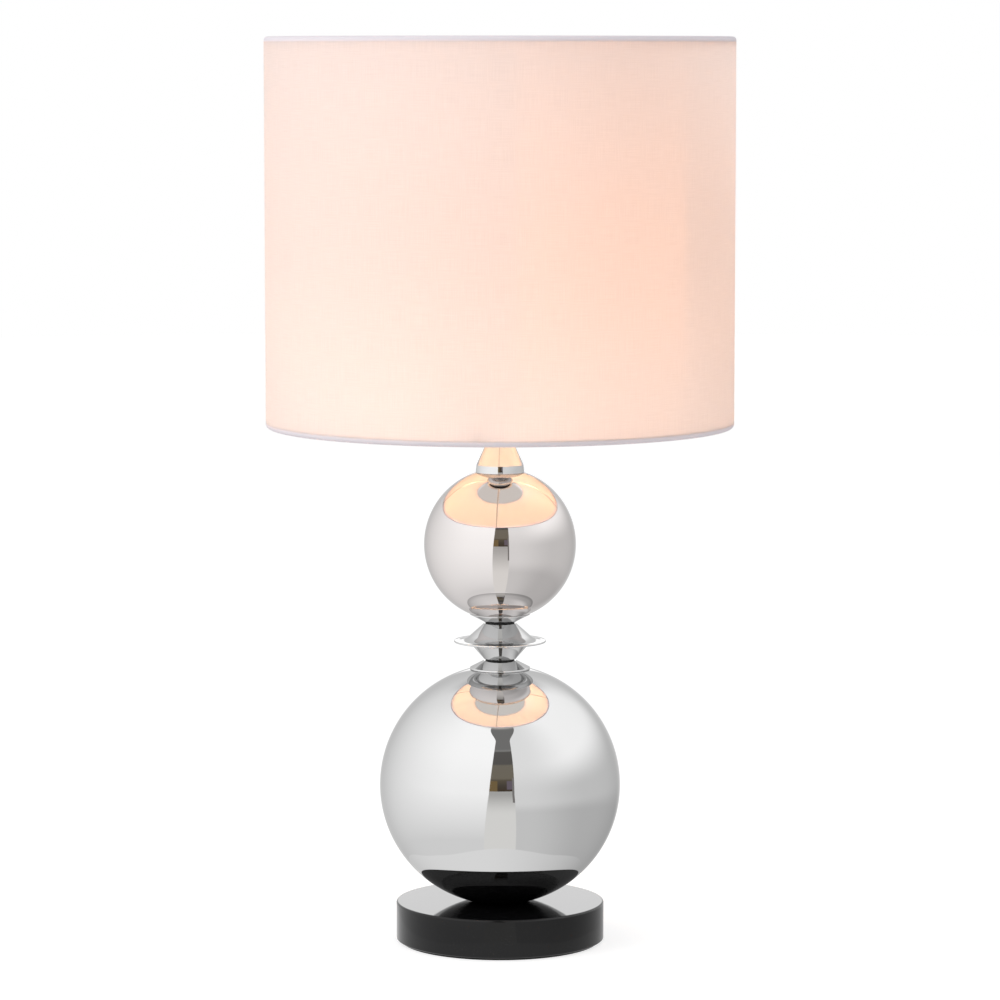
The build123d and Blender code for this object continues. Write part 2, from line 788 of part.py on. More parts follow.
# Files, one for each piece
os.makedirs("parts", exist_ok=True)
felt_pad.part.label = "felt_pad"
stone_base.part.label = "stone_base"
cord_bushing.part.label = "cord_bushing"
base_washer.part.label = "base_washer"
lock_washer.part.label = "lock_washer"
base_nut.part.label = "base_nut"
threaded_rod.part.label = "threaded_rod"
ball_seat.part.label = "ball_seat"
big_ball.part.label = "big_ball"
lower_flange.part.label = "lower_flange"
lower_gasket.part.label = "lower_gasket"
waist_cone.part.label = "waist_cone"
waist_disc.part.label = "waist_disc"
upper_gasket.part.label = "upper_gasket"
upper_saucer.part.label = "upper_saucer"
small_ball.part.label = "small_ball"
top_cap.part.label = "top_cap"
top_nut.part.label = "top_nut"
holder_cup.part.label = "holder_cup"
holder_skirt.part.label = "holder_skirt"
holder_core.part.label = "holder_core"
terminal_screws.part.label = "terminal_screws"
screw_shell.part.label = "screw_shell"
centre_contact.part.label = "centre_contact"
bulb_tip.part.label = "bulb_tip"
bulb_insulator.part.label = "bulb_insulator"
bulb_cap.part.label = "bulb_cap"
bulb_glass.part.label = "bulb_glass"
fitter_ring.part.label = "fitter_ring"
fitter_arms.part.label = "fitter_arms"
shade_ring_nut.part.label = "shade_ring_nut"
shade_bottom_ring.part.label = "shade_bottom_ring"
shade_top_ring.part.label = "shade_top_ring"
shade_liner.part.label = "shade_liner"
shade_cover.part.label = "shade_cover"
export_step(felt_pad.part, "parts/felt_pad.step")
export_step(stone_base.part, "parts/stone_base.step")
export_step(cord_bushing.part, "parts/cord_bushing.step")
export_step(base_washer.part, "parts/base_washer.step")
export_step(lock_washer.part, "parts/lock_washer.step")
export_step(base_nut.part, "parts/base_nut.step")
export_step(threaded_rod.part, "parts/threaded_rod.step")
export_step(ball_seat.part, "parts/ball_seat.step")
export_step(big_ball.part, "parts/big_ball.step")
export_step(lower_flange.part, "parts/lower_flange.step")
export_step(lower_gasket.part, "parts/lower_gasket.step")
export_step(waist_cone.part, "parts/waist_cone.step")
export_step(waist_disc.part, "parts/waist_disc.step")
export_step(upper_gasket.part, "parts/upper_gasket.step")
export_step(upper_saucer.part, "parts/upper_saucer.step")
export_step(small_ball.part, "parts/small_ball.step")
export_step(top_cap.part, "parts/top_cap.step")
export_step(top_nut.part, "parts/top_nut.step")
export_step(holder_cup.part, "parts/holder_cup.step")
export_step(holder_skirt.part, "parts/holder_skirt.step")
export_step(holder_core.part, "parts/holder_core.step")
export_step(terminal_screws.part, "parts/terminal_screws.step")
export_step(screw_shell.part, "parts/screw_shell.step")
export_step(centre_contact.part, "parts/centre_contact.step")
export_step(bulb_tip.part, "parts/bulb_tip.step")
export_step(bulb_insulator.part, "parts/bulb_insulator.step")
export_step(bulb_cap.part, "parts/bulb_cap.step")
export_step(bulb_glass.part, "parts/bulb_glass.step")
export_step(fitter_ring.part, "parts/fitter_ring.step")
export_step(fitter_arms.part, "parts/fitter_arms.step")
export_step(shade_ring_nut.part, "parts/shade_ring_nut.step")
export_step(shade_bottom_ring.part, "parts/shade_bottom_ring.step")
export_step(shade_top_ring.part, "parts/shade_top_ring.step")
export_step(shade_liner.part, "parts/shade_liner.step")
export_step(shade_cover.part, "parts/shade_cover.step")
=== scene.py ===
import math

import bpy
import bmesh
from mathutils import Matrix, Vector


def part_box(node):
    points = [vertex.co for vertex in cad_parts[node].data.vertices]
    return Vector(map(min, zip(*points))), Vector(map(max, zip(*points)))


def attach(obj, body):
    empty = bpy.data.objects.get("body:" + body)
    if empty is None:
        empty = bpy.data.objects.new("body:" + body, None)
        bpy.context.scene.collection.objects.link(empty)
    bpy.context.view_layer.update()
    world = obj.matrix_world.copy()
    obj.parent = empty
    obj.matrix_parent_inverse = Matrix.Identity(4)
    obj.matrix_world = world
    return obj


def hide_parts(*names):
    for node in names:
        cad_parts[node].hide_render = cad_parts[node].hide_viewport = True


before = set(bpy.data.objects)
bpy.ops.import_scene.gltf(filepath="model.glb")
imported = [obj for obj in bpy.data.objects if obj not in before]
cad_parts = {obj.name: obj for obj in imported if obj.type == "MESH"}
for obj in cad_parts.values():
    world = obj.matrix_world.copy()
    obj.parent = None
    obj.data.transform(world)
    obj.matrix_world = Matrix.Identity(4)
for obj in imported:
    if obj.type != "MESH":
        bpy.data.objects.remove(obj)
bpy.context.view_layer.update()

MM = 0.001

# Sizes in millimetres, as in the solids
BALL_HOLE = 5.3
BIG_BALL_RADIUS = 77.65
SMALL_BALL_RADIUS = 48.9
SHEET = 1.2
SHADE_RADIUS = 150.0
COVER_THICKNESS = 0.6
LINER_THICKNESS = 0.45
WIRE_RADIUS = 1.5
WIRE_PLAY = 0.3
HEM_FLAP = 6.0
HEM_BAND = 3.2
SNIP_WIDTH = 4.4
SNIP_DROP = 1.35
ARM_ANGLES = (-95.0, 25.0, 145.0)
SEAM_WIDTH = 10.0
SEAM_PROUD = 0.3
LINER_LAP = 12.0
LINER_LAP_TUCK = -0.4
ROLL_RADIUS = WIRE_RADIUS + WIRE_PLAY + COVER_THICKNESS
WIRE_RING_RADIUS = SHADE_RADIUS - ROLL_RADIUS

# Faces that meet at more than this angle in degrees are shaded as an edge
SHARP_ANGLE = 35.0

# Share of the light that the plating mirrors
PLATING = 0.65

# Cloth: its colours, pitch of the weave in metres, and shares of light that go through
CLOTH_LIGHT = (0.84, 0.82, 0.82)
CLOTH_SHADOW = (0.79, 0.77, 0.77)
HEM_COLOUR = (0.93, 0.885, 0.925)
HEM_SHADOW = (0.9, 0.855, 0.895)
WEAVE_PITCH = 0.00045
CLOTH_PASSING = 0.4
SEAM_PASSING = 0.25
HEM_PASSING = 0.1
ROLLED_PASSING = 0.05
FILM_PASSING = 0.15

# Half the height in metres over which the cloth changes into its turned edge
EDGE_BLUR = 0.0005

# Light: level of the surroundings, and tone of the table as the camera sees it, with a
# little added that keeps it white away from the lamp
WORLD_LIGHT = 0.6
TABLE_TONE = 0.45
TABLE_EXTRA = 0.02

# The table as the metal sees it: height of the eye in metres, and rise of its far edge
MIRROR_HEIGHT = 0.1
TABLE_END_RISE = 2.7

# Camera, worked out from the ellipses in the photograph
PHOTO_SIZE = 1000.0
FOCAL_PIXELS = 4238.8
CAMERA_DISTANCE = 2.7089
CAMERA_HEIGHT = 0.57095
CAMERA_PITCH = 0.10446
SENSOR_WIDTH = 36.0


def span(node):
    """Lowest and highest z of a CAD node, in millimetres."""
    low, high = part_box(node)
    return low[2] / MM, high[2] / MM


# Outlines
def arc(centre, radius, start, end, steps):
    """Points on a circle in the (r, z) half plane, angles in degrees from the r axis."""
    points = []
    for step in range(steps + 1):
        turn = math.radians(start + (end - start) * step / steps)
        points.append((centre[0] + radius * math.cos(turn), centre[1] + radius * math.sin(turn)))
    return points


def rounded(corners):
    """A closed outline whose corners (r, z, round) are rounded by arcs of that radius."""
    steps = 5
    points = []
    count = len(corners)
    for index, (r, z, size) in enumerate(corners):
        here = Vector((r, z))
        before = Vector(corners[index - 1][:2]) - here
        after = Vector(corners[(index + 1) % count][:2]) - here
        if size == 0:
            points.append((r, z))
            continue
        half = before.angle(after) / 2
        reach = size / math.tan(half)
        start = here + before.normalized() * reach
        end = here + after.normalized() * reach
        middle = (before.normalized() + after.normalized()).normalized()
        centre = here + middle * size / math.sin(half)
        for step in range(steps + 1):
            blend = start.lerp(end, step / steps) - centre
            points.append(tuple(centre + blend.normalized() * size))
    return points


def upright(radius, low, high, rows):
    """A straight upright outline in that many steps."""
    return [(radius, low + (high - low) * step / rows) for step in range(rows + 1)]


# Meshes
def spin(name, outline, segments=256, closed=True, cuts=()):
    """Turns an outline in millimetres about the axis, with UVs in metres along the surface.

    cuts are (first angle, last angle, other outline): between those angles in degrees the
    other outline, which has as many points, takes the place of the first.
    """
    rows = len(outline)
    lengths = [0.0]
    for (r0, z0), (r1, z1) in zip(outline, outline[1:] + outline[:1]):
        lengths.append(lengths[-1] + math.hypot(r1 - r0, z1 - z0) * MM)
    widest = max(r for r, z in outline) * MM
    columns = [(360.0 * column / segments, outline) for column in range(segments)]
    for first, last, other in cuts:
        columns = [entry for entry in columns if not first <= entry[0] <= last]
        columns += [(first, outline), (first, other), (last, other), (last, outline)]
    # The two columns of a cut's wall share an angle and stay in the order given
    columns.sort(key=lambda entry: entry[0])
    mesh = bpy.data.meshes.new(name)
    work = bmesh.new()
    grid = []
    for degrees, points in columns:
        turn = math.radians(degrees)
        grid.append([
            work.verts.new((r * MM * math.cos(turn), r * MM * math.sin(turn), z * MM))
            for r, z in points
        ])
    uv_layer = work.loops.layers.uv.new("UVMap")
    last_row = rows if closed else rows - 1
    for column, (degrees, points) in enumerate(columns):
        beside = (column + 1) % len(columns)
        far = columns[beside][0] + (360.0 if beside == 0 else 0.0)
        u0 = math.radians(degrees) * widest
        u1 = math.radians(far) * widest
        for row in range(last_row):
            above = (row + 1) % rows
            face = work.faces.new(
                (grid[column][row], grid[beside][row], grid[beside][above], grid[column][above])
            )
            corners = ((u0, row), (u1, row), (u1, row + 1), (u0, row + 1))
            for loop, (u, v) in zip(face.loops, corners):
                loop[uv_layer].uv = (u, lengths[v])
            face.smooth = True
    if closed:
        bmesh.ops.recalc_face_normals(work, faces=work.faces)
    work.to_mesh(mesh)
    work.free()
    mesh.set_sharp_from_angle(angle=math.radians(SHARP_ANGLE))
    piece = bpy.data.objects.new(name, mesh)
    bpy.context.collection.objects.link(piece)
    return piece


def curved_strip(name, radius, low, high, width, facing, tuck=0.25):
    """An upright strip bent round the axis, centred on the facing angle in degrees.

    Its side edges come nearer to the axis by tuck, over the last tenth of each half.
    """
    columns = 24
    flat_share = 0.9
    mesh = bpy.data.meshes.new(name)
    work = bmesh.new()
    uv_layer = work.loops.layers.uv.new("UVMap")
    half_turn = width / radius / 2
    grid = []
    for column in range(columns + 1):
        across = -1 + 2 * column / columns
        turn = math.radians(facing) + across * half_turn
        edge = radius - tuck * max(0.0, abs(across) - flat_share) / (1.0 - flat_share)
        grid.append([
            work.verts.new((edge * MM * math.cos(turn), edge * MM * math.sin(turn), z * MM))
            for z in (low, high)
        ])
    for column in range(columns):
        face = work.faces.new(
            (grid[column][0], grid[column + 1][0], grid[column + 1][1], grid[column][1])
        )
        u0 = width * MM * column / columns
        u1 = width * MM * (column + 1) / columns
        corners = ((u0, low * MM), (u1, low * MM), (u1, high * MM), (u0, high * MM))
        for loop, uv in zip(face.loops, corners):
            loop[uv_layer].uv = uv
        face.smooth = True
    work.to_mesh(mesh)
    work.free()
    piece = bpy.data.objects.new(name, mesh)
    bpy.context.collection.objects.link(piece)
    return piece


# Material nodes
def node(tree, kind, values=(), **settings):
    """A new node with settings, whose inputs are constants or other nodes' outputs."""
    made = tree.nodes.new(kind)
    for key, value in settings.items():
        setattr(made, key, value)
    for socket, value in dict(values).items():
        if isinstance(value, bpy.types.NodeSocket):
            tree.links.new(value, made.inputs[socket])
        else:
            made.inputs[socket].default_value = value
    return made


def maths(tree, operation, *values):
    made = node(tree, "ShaderNodeMath", dict(enumerate(values)), operation=operation)
    return made.outputs[0]


def blend_range(tree, value, low, high, to_low=0.0, to_high=1.0):
    """Smooth step from low to high, mapped to to_low and to_high."""
    made = node(
        tree, "ShaderNodeMapRange",
        {"Value": value, "From Min": low, "From Max": high, "To Min": to_low, "To Max": to_high},
        interpolation_type="SMOOTHSTEP",
    )
    return made.outputs["Result"]


def mix_values(tree, factor, first, second):
    made = tree.nodes.new("ShaderNodeMix")
    made.data_type = "FLOAT"
    for socket, value in ((0, factor), (2, first), (3, second)):
        if isinstance(value, bpy.types.NodeSocket):
            tree.links.new(value, made.inputs[socket])
        else:
            made.inputs[socket].default_value = value
    return made.outputs[0]


def mix_colours(tree, factor, first, second):
    made = tree.nodes.new("ShaderNodeMix")
    made.data_type = "RGBA"
    for socket, value in ((0, factor), (6, first), (7, second)):
        if isinstance(value, bpy.types.NodeSocket):
            tree.links.new(value, made.inputs[socket])
        elif socket == 0:
            made.inputs[0].default_value = value
        else:
            made.inputs[socket].default_value = (*value, 1.0)
    return made.outputs[2]


def noise(tree, coordinate, scale, detail, stretch=(1, 1, 1)):
    mapped = node(tree, "ShaderNodeMapping", {"Vector": coordinate, "Scale": stretch})
    made = node(
        tree, "ShaderNodeTexNoise",
        {"Vector": mapped.outputs[0], "Scale": scale, "Detail": detail},
    )
    return made.outputs["Fac"]


def bump(tree, height, strength, distance):
    made = node(
        tree, "ShaderNodeBump", {"Height": height, "Strength": strength, "Distance": distance}
    )
    return made.outputs["Normal"]


def start_material(name, **values):
    """A material with a Principled shader, its node tree and object coordinates."""
    made = bpy.data.materials.new(name)
    made.use_nodes = True
    tree = made.node_tree
    shader = tree.nodes["Principled BSDF"]
    for socket, value in values.items():
        target = shader.inputs[socket.replace("_", " ")]
        target.default_value = (*value, 1.0) if isinstance(value, tuple) else value
    place = tree.nodes.new("ShaderNodeTexCoord")
    return made, tree, shader, place.outputs["Object"]


def chrome_material(name, tint=(1.0, 1.0, 1.0)):
    """Chromium plating: very slightly uneven, with faint smudges in its gloss."""
    made, tree, shader, place = start_material(name, Metallic=1.0, Specular_Tint=(0.72,) * 3)
    smudge = noise(tree, place, 18.0, 5.0)
    rough = blend_range(tree, smudge, 0.35, 0.75, 0.012, 0.04)
    tree.links.new(rough, shader.inputs["Roughness"])
    bright = tuple(part * (PLATING + 0.005) for part in tint)
    dull = tuple(part * (PLATING - 0.015) for part in tint)
    tree.links.new(mix_colours(tree, smudge, bright, dull), shader.inputs["Base Color"])
    ripple = noise(tree, place, 9.0, 1.0)
    tree.links.new(bump(tree, ripple, 0.02, 0.002), shader.inputs["Normal"])
    return made


def stone_material():
    """Black polished stone with fine crystals and a few grey flecks."""
    made, tree, shader, place = start_material("stone", IOR=1.37)
    grain = noise(tree, place, 900.0, 6.0)
    cloud = noise(tree, place, 40.0, 4.0)
    fleck = blend_range(tree, grain, 0.64, 0.76)
    body = mix_colours(tree, cloud, (0.003, 0.003, 0.0035), (0.007, 0.007, 0.0075))
    colour = mix_colours(tree, fleck, body, (0.03, 0.03, 0.031))
    tree.links.new(colour, shader.inputs["Base Color"])
    rough = blend_range(tree, cloud, 0.3, 0.7, 0.015, 0.035)
    tree.links.new(rough, shader.inputs["Roughness"])
    tree.links.new(bump(tree, grain, 0.02, 0.0004), shader.inputs["Normal"])
    return made


def weave_height(tree):
    """Plain weave from the UV map in metres: over and under threads with uneven slubs."""
    cloth = tree.nodes.new("ShaderNodeUVMap")
    split = node(tree, "ShaderNodeSeparateXYZ", {0: cloth.outputs[0]})
    across, along = (
        maths(tree, "SINE", maths(tree, "MULTIPLY", split.outputs[axis], math.pi / WEAVE_PITCH))
        for axis in (0, 1)
    )
    weave = maths(tree, "MULTIPLY", across, along)
    weft = noise(tree, cloth.outputs[0], 1.0, 3.0, stretch=(60, 2600, 1))
    warp = noise(tree, cloth.outputs[0], 1.0, 3.0, stretch=(2600, 60, 1))
    slub = maths(tree, "ADD", weft, warp)
    return weave, slub


def cloth_material(name, light, shadow, passing, rolled=None, edges=()):
    """Woven cotton that scatters light on both sides; passing is the share that goes through.

    rolled is the colour of the opaque turned edges, which lie outside the two heights of
    edges, in metres.
    """
    made, tree, shader, place = start_material(name, Roughness=0.9, Sheen_Weight=0.08)
    shader.inputs["Specular IOR Level"].default_value = 0.0
    weave, slub = weave_height(tree)
    tone = blend_range(tree, slub, 0.7, 1.3)
    colour = mix_colours(tree, tone, shadow, light)
    share = passing
    if rolled:
        low, high = edges
        rise = node(tree, "ShaderNodeSeparateXYZ", {0: place}).outputs[2]
        above = blend_range(tree, rise, low - EDGE_BLUR, low + EDGE_BLUR)
        below = blend_range(tree, rise, high - EDGE_BLUR, high + EDGE_BLUR, 1.0, 0.0)
        single = maths(tree, "MULTIPLY", above, below)
        colour = mix_colours(tree, single, rolled, colour)
        share = blend_range(tree, single, 0.0, 1.0, ROLLED_PASSING, passing)
    tree.links.new(colour, shader.inputs["Base Color"])
    height = maths(tree, "ADD", maths(tree, "MULTIPLY", weave, 0.5), slub)
    normal = bump(tree, height, 0.2, 0.0002)
    tree.links.new(normal, shader.inputs["Normal"])
    through = node(tree, "ShaderNodeBsdfTranslucent", {"Color": colour, "Normal": normal})
    both = node(
        tree, "ShaderNodeMixShader", {0: share, 1: shader.outputs[0], 2: through.outputs[0]}
    )
    tree.links.new(both.outputs[0], tree.nodes["Material Output"].inputs["Surface"])
    return made


def film_material():
    """Smooth translucent plastic film, the stiff lining inside the cloth."""
    made, tree, shader, place = start_material("film", Roughness=0.45)
    cloud = noise(tree, place, 30.0, 3.0)
    colour = mix_colours(tree, cloud, (0.9, 0.9, 0.88), (0.93, 0.93, 0.91))
    tree.links.new(colour, shader.inputs["Base Color"])
    tree.links.new(bump(tree, cloud, 0.05, 0.001), shader.inputs["Normal"])
    through = node(tree, "ShaderNodeBsdfTranslucent", {"Color": colour})
    both = node(
        tree, "ShaderNodeMixShader",
        {0: FILM_PASSING, 1: shader.outputs[0], 2: through.outputs[0]},
    )
    tree.links.new(both.outputs[0], tree.nodes["Material Output"].inputs["Surface"])
    return made


def plain_material(name, colour, roughness, metallic=0.0):
    """Moulded or pressed surface: fine mottling in its colour and gloss and a soft texture."""
    made, tree, shader, place = start_material(name, Metallic=metallic)
    mottle = noise(tree, place, 400.0, 5.0)
    darker = tuple(part * 0.82 for part in colour)
    tree.links.new(mix_colours(tree, mottle, darker, colour), shader.inputs["Base Color"])
    rough = blend_range(tree, mottle, 0.3, 0.7, roughness * 0.8, min(1.0, roughness * 1.25))
    tree.links.new(rough, shader.inputs["Roughness"])
    tree.links.new(bump(tree, mottle, 0.08, 0.0003), shader.inputs["Normal"])
    return made


def felt_material():
    made, tree, shader, place = start_material("felt", Roughness=1.0, Sheen_Weight=0.4)
    fibre = noise(tree, place, 1400.0, 8.0)
    colour = mix_colours(tree, fibre, (0.01, 0.01, 0.01), (0.05, 0.05, 0.05))
    tree.links.new(colour, shader.inputs["Base Color"])
    tree.links.new(bump(tree, fibre, 0.6, 0.0005), shader.inputs["Normal"])
    return made


def opal_material():
    """Opal bulb glass with the lit filament glow inside."""
    made, tree, shader, place = start_material("opal", Roughness=0.15, Coat_Weight=0.5)
    split = node(tree, "ShaderNodeSeparateXYZ", {0: place})
    low, high = span("bulb_glass")
    rise = blend_range(tree, split.outputs[2], low * MM, high * MM)
    colour = mix_colours(tree, rise, (0.95, 0.8, 0.58), (0.97, 0.9, 0.76))
    tree.links.new(colour, shader.inputs["Base Color"])
    tree.links.new(colour, shader.inputs["Emission Color"])
    shader.inputs["Emission Strength"].default_value = 0.95
    return made


def paint_nodes(names, material):
    """Gives CAD nodes a material in their own slots."""
    for name in names:
        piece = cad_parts[name]
        for slot in piece.material_slots:
            slot.material = material


def dress(piece, material, body, slot, *nodes):
    """Material, body and the CAD nodes that the piece stands for; slot is not used."""
    piece.data.materials.append(material)
    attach(piece, body)
    if nodes:
        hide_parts(*nodes)
    return piece


chrome = chrome_material("chrome")
# Painted warm light: a lighter, warmer copy of the same plating for the small sphere, whose metal
# is the same as the large one's
warm_lit_chrome = chrome_material("warm_lit_chrome", (1.05, 1.0, 0.985))
stone = stone_material()
felt = felt_material()
rubber = plain_material("rubber", (0.02, 0.02, 0.02), 0.7)
black_plastic = plain_material("black_plastic", (0.022, 0.022, 0.024), 0.3)
steel = plain_material("steel", (0.62, 0.62, 0.61), 0.3, metallic=1.0)
wire = plain_material("wire", (0.78, 0.77, 0.75), 0.4)
ceramic = plain_material("ceramic", (0.85, 0.83, 0.78), 0.25)
brass = plain_material("brass", (0.78, 0.57, 0.24), 0.28, metallic=1.0)
bulb_metal = plain_material("bulb_metal", (0.8, 0.78, 0.74), 0.35, metallic=1.0)
bulb_black = plain_material("bulb_black", (0.03, 0.03, 0.035), 0.2)
opal = opal_material()
film = film_material()
cover_low, cover_high = span("shade_cover")
hem_edges = ((cover_low + HEM_BAND) * MM, (cover_high - HEM_BAND) * MM)
fabric = cloth_material(
    "fabric", CLOTH_LIGHT, CLOTH_SHADOW, CLOTH_PASSING, HEM_COLOUR, hem_edges
)
hem_fabric = cloth_material("hem", HEM_COLOUR, HEM_SHADOW, HEM_PASSING)
seam_fabric = cloth_material(
    "seam", CLOTH_LIGHT, CLOTH_SHADOW, SEAM_PASSING, HEM_COLOUR, hem_edges
)

# Spheres
def ball(name, node_name, radius, plating):
    low, high = span(node_name)
    pole = math.degrees(math.acos(BALL_HOLE / radius))
    outline = arc((0, (low + high) / 2), radius, -pole, pole, 180)
    piece = spin(name, outline, segments=384, closed=False)
    return dress(piece, plating, "column", "chrome", node_name)


ball("large_sphere", "big_ball", BIG_BALL_RADIUS, chrome)
ball("small_sphere", "small_ball", SMALL_BALL_RADIUS, warm_lit_chrome)

# Waist: turned dishes, spun cone and spun trumpet
flange_low, flange_high = span("lower_flange")
FLANGE_RIM_RADIUS = 19.4
FLANGE_RIM_THICKNESS = 1.2
FLANGE_HOLLOW = 1.5
DISH_NECK_RADIUS = 10.5
flange_outline = rounded([
    (FLANGE_RIM_RADIUS, flange_low, 0.35),
    (FLANGE_RIM_RADIUS, flange_low + FLANGE_RIM_THICKNESS, 0.45),
    (DISH_NECK_RADIUS, flange_high, 0.25),
    (BALL_HOLE, flange_high, 0),
    (BALL_HOLE, flange_low + FLANGE_HOLLOW, 0),
])
dress(spin("flange_dish", flange_outline), chrome, "column", "chrome", "lower_flange")

saucer_low, saucer_high = span("upper_saucer")
SAUCER_RIM_RADIUS = 19.35
SAUCER_RIM_HEIGHT = 0.55
SAUCER_LIP_WIDTH = 0.5
SAUCER_LIP_DROP = 0.1
saucer_outline = rounded([
    (BALL_HOLE, saucer_low, 0),
    (DISH_NECK_RADIUS, saucer_low, 0.25),
    (SAUCER_RIM_RADIUS, saucer_high - SAUCER_RIM_HEIGHT, 0.25),
    (SAUCER_RIM_RADIUS, saucer_high, 0.2),
    (SAUCER_RIM_RADIUS - SAUCER_LIP_WIDTH, saucer_high - SAUCER_LIP_DROP, 0),
    (BALL_HOLE, saucer_low + SHEET, 0),
])
dress(spin("saucer_dish", saucer_outline), chrome, "column", "chrome", "upper_saucer")

WAIST_NECK_RADIUS = 10.4
WAIST_DISC_RADIUS = 29.7
TRUMPET_ANGLE = 42.0
TRUMPET_ROOT_RADIUS = 12.0
TRUMPET_TOP_ROUND = 0.3
TRUMPET_TOP_INSET = 0.2
DISC_EDGE_ROUND = SHEET * 0.45
CONE_RIM_RADIUS = 21.2
disc_low, trumpet_top = span("waist_disc")
disc_top = disc_low + SHEET
slope = math.radians(TRUMPET_ANGLE)
root_height = TRUMPET_ROOT_RADIUS * (1 - math.cos(slope))
root_end = WAIST_NECK_RADIUS + (trumpet_top - disc_top - root_height) / math.tan(slope)
root_start = root_end + TRUMPET_ROOT_RADIUS * math.sin(slope)
root_centre = (root_start, disc_top + TRUMPET_ROOT_RADIUS)
edge_centre = WAIST_DISC_RADIUS - DISC_EDGE_ROUND
neck_centre = (WAIST_NECK_RADIUS - TRUMPET_TOP_INSET, trumpet_top - TRUMPET_TOP_ROUND)
trumpet_outline = (
    arc((edge_centre, disc_top - DISC_EDGE_ROUND), DISC_EDGE_ROUND, 0, 90, 5)
    + arc(root_centre, TRUMPET_ROOT_RADIUS, -90, -90 - TRUMPET_ANGLE, 24)
    + arc(neck_centre, TRUMPET_TOP_ROUND, 90 - TRUMPET_ANGLE, 90, 4)
    + [(BALL_HOLE, trumpet_top), (BALL_HOLE, trumpet_top - SHEET)]
    + [(WAIST_NECK_RADIUS - SHEET * math.tan(slope / 2), trumpet_top - SHEET)]
    + arc(root_centre, TRUMPET_ROOT_RADIUS + SHEET, -90 - TRUMPET_ANGLE, -90, 24)
    + arc((edge_centre, disc_low + DISC_EDGE_ROUND), DISC_EDGE_ROUND, -90, 0, 5)
)
dress(spin("waist_trumpet", trumpet_outline), chrome, "column", "chrome", "waist_disc")

cone_low, cone_high = span("waist_cone")
cone_lean = (CONE_RIM_RADIUS - WAIST_NECK_RADIUS) / (cone_high - cone_low)
cone_wall = SHEET * math.hypot(1, cone_lean)
cone_outline = rounded([
    (BALL_HOLE, cone_low, 0),
    (WAIST_NECK_RADIUS, cone_low, 0.3),
    (CONE_RIM_RADIUS, cone_high, 0.2),
    (CONE_RIM_RADIUS - cone_wall, cone_high, 0.2),
    (WAIST_NECK_RADIUS + SHEET * cone_lean - cone_wall, cone_low + SHEET, 0),
    (BALL_HOLE, cone_low + SHEET, 0),
])
dress(spin("waist_bowl", cone_outline), chrome, "column", "chrome", "waist_cone")

# Cap on the small sphere
CAP_RADIUS = 15.7
CAP_BAND_RADIUS = 15.1
CAP_BAND_HEIGHT = 5.1
CAP_NECK_RADIUS = 9.0
CAP_LIP = 0.35
small_centre = sum(span("small_ball")) / 2
cap_top = span("top_cap")[1]
cap_bottom = small_centre + math.sqrt(SMALL_BALL_RADIUS**2 - CAP_RADIUS**2)
cap_outline = rounded([
    (CAP_RADIUS, cap_bottom, 0.2),
    (CAP_BAND_RADIUS, cap_bottom + CAP_BAND_HEIGHT, 0.5),
    (CAP_NECK_RADIUS, cap_top, 0.5),
    (BALL_HOLE, cap_top, 0),
    (BALL_HOLE, cap_top - SHEET, 0),
    (CAP_NECK_RADIUS - SHEET, cap_top - SHEET, 0),
    (CAP_BAND_RADIUS - SHEET, cap_bottom + CAP_BAND_HEIGHT, 0),
    (CAP_RADIUS - SHEET, cap_bottom + CAP_LIP, 0),
])
dress(spin("cone_cap", cap_outline), chrome, "column", "chrome", "top_cap")

# Shade: cloth, rolled edges, lining and the glued laps behind
low_wire = cover_low + ROLL_RADIUS
high_wire = cover_high - ROLL_RADIUS
cloth_outline = upright(SHADE_RADIUS, low_wire, high_wire, 24)
cloth = spin("shade_cloth", cloth_outline, segments=360, closed=False)
dress(cloth, fabric, "shade", "fabric", "shade_cover")


def hem(name, wire_height, way, snips=()):
    """Cloth rolled round a wire, with its flap inside; way is -1 below and 1 above.

    The flap is snipped open where an arm comes through.
    """
    centre = (WIRE_RING_RADIUS, wire_height)
    inner = ROLL_RADIUS - COVER_THICKNESS
    flap = wire_height - way * HEM_FLAP
    outline = (
        arc(centre, ROLL_RADIUS, 0, 180 * way, 16)
        + [(WIRE_RING_RADIUS - ROLL_RADIUS, flap), (WIRE_RING_RADIUS - inner, flap)]
        + arc(centre, inner, 180 * way, 0, 12)
    )
    outer_end = 180 - math.degrees(math.asin(SNIP_DROP / ROLL_RADIUS))
    inner_end = 180 - math.degrees(math.asin(SNIP_DROP / inner))
    open_outer = arc(centre, ROLL_RADIUS, 0, outer_end * way, 16)
    open_inner = arc(centre, inner, inner_end * way, 0, 12)
    snipped = open_outer + [open_outer[-1], open_inner[0]] + open_inner
    half_turn = math.degrees(SNIP_WIDTH / 2 / (WIRE_RING_RADIUS - inner))
    cuts = [(angle % 360 - half_turn, angle % 360 + half_turn, snipped) for angle in snips]
    piece = spin(name, outline, segments=360, cuts=cuts)
    dress(piece, hem_fabric, "shade", "fabric")
    piece.visible_shadow = False
    return piece


low_hem = hem("shade_hem_low", low_wire, -1, ARM_ANGLES)
high_hem = hem("shade_hem_high", high_wire, 1)
seam = curved_strip(
    "shade_seam", SHADE_RADIUS + SEAM_PROUD, low_wire, high_wire, SEAM_WIDTH, facing=90
)
dress(seam, seam_fabric, "shade", "fabric")

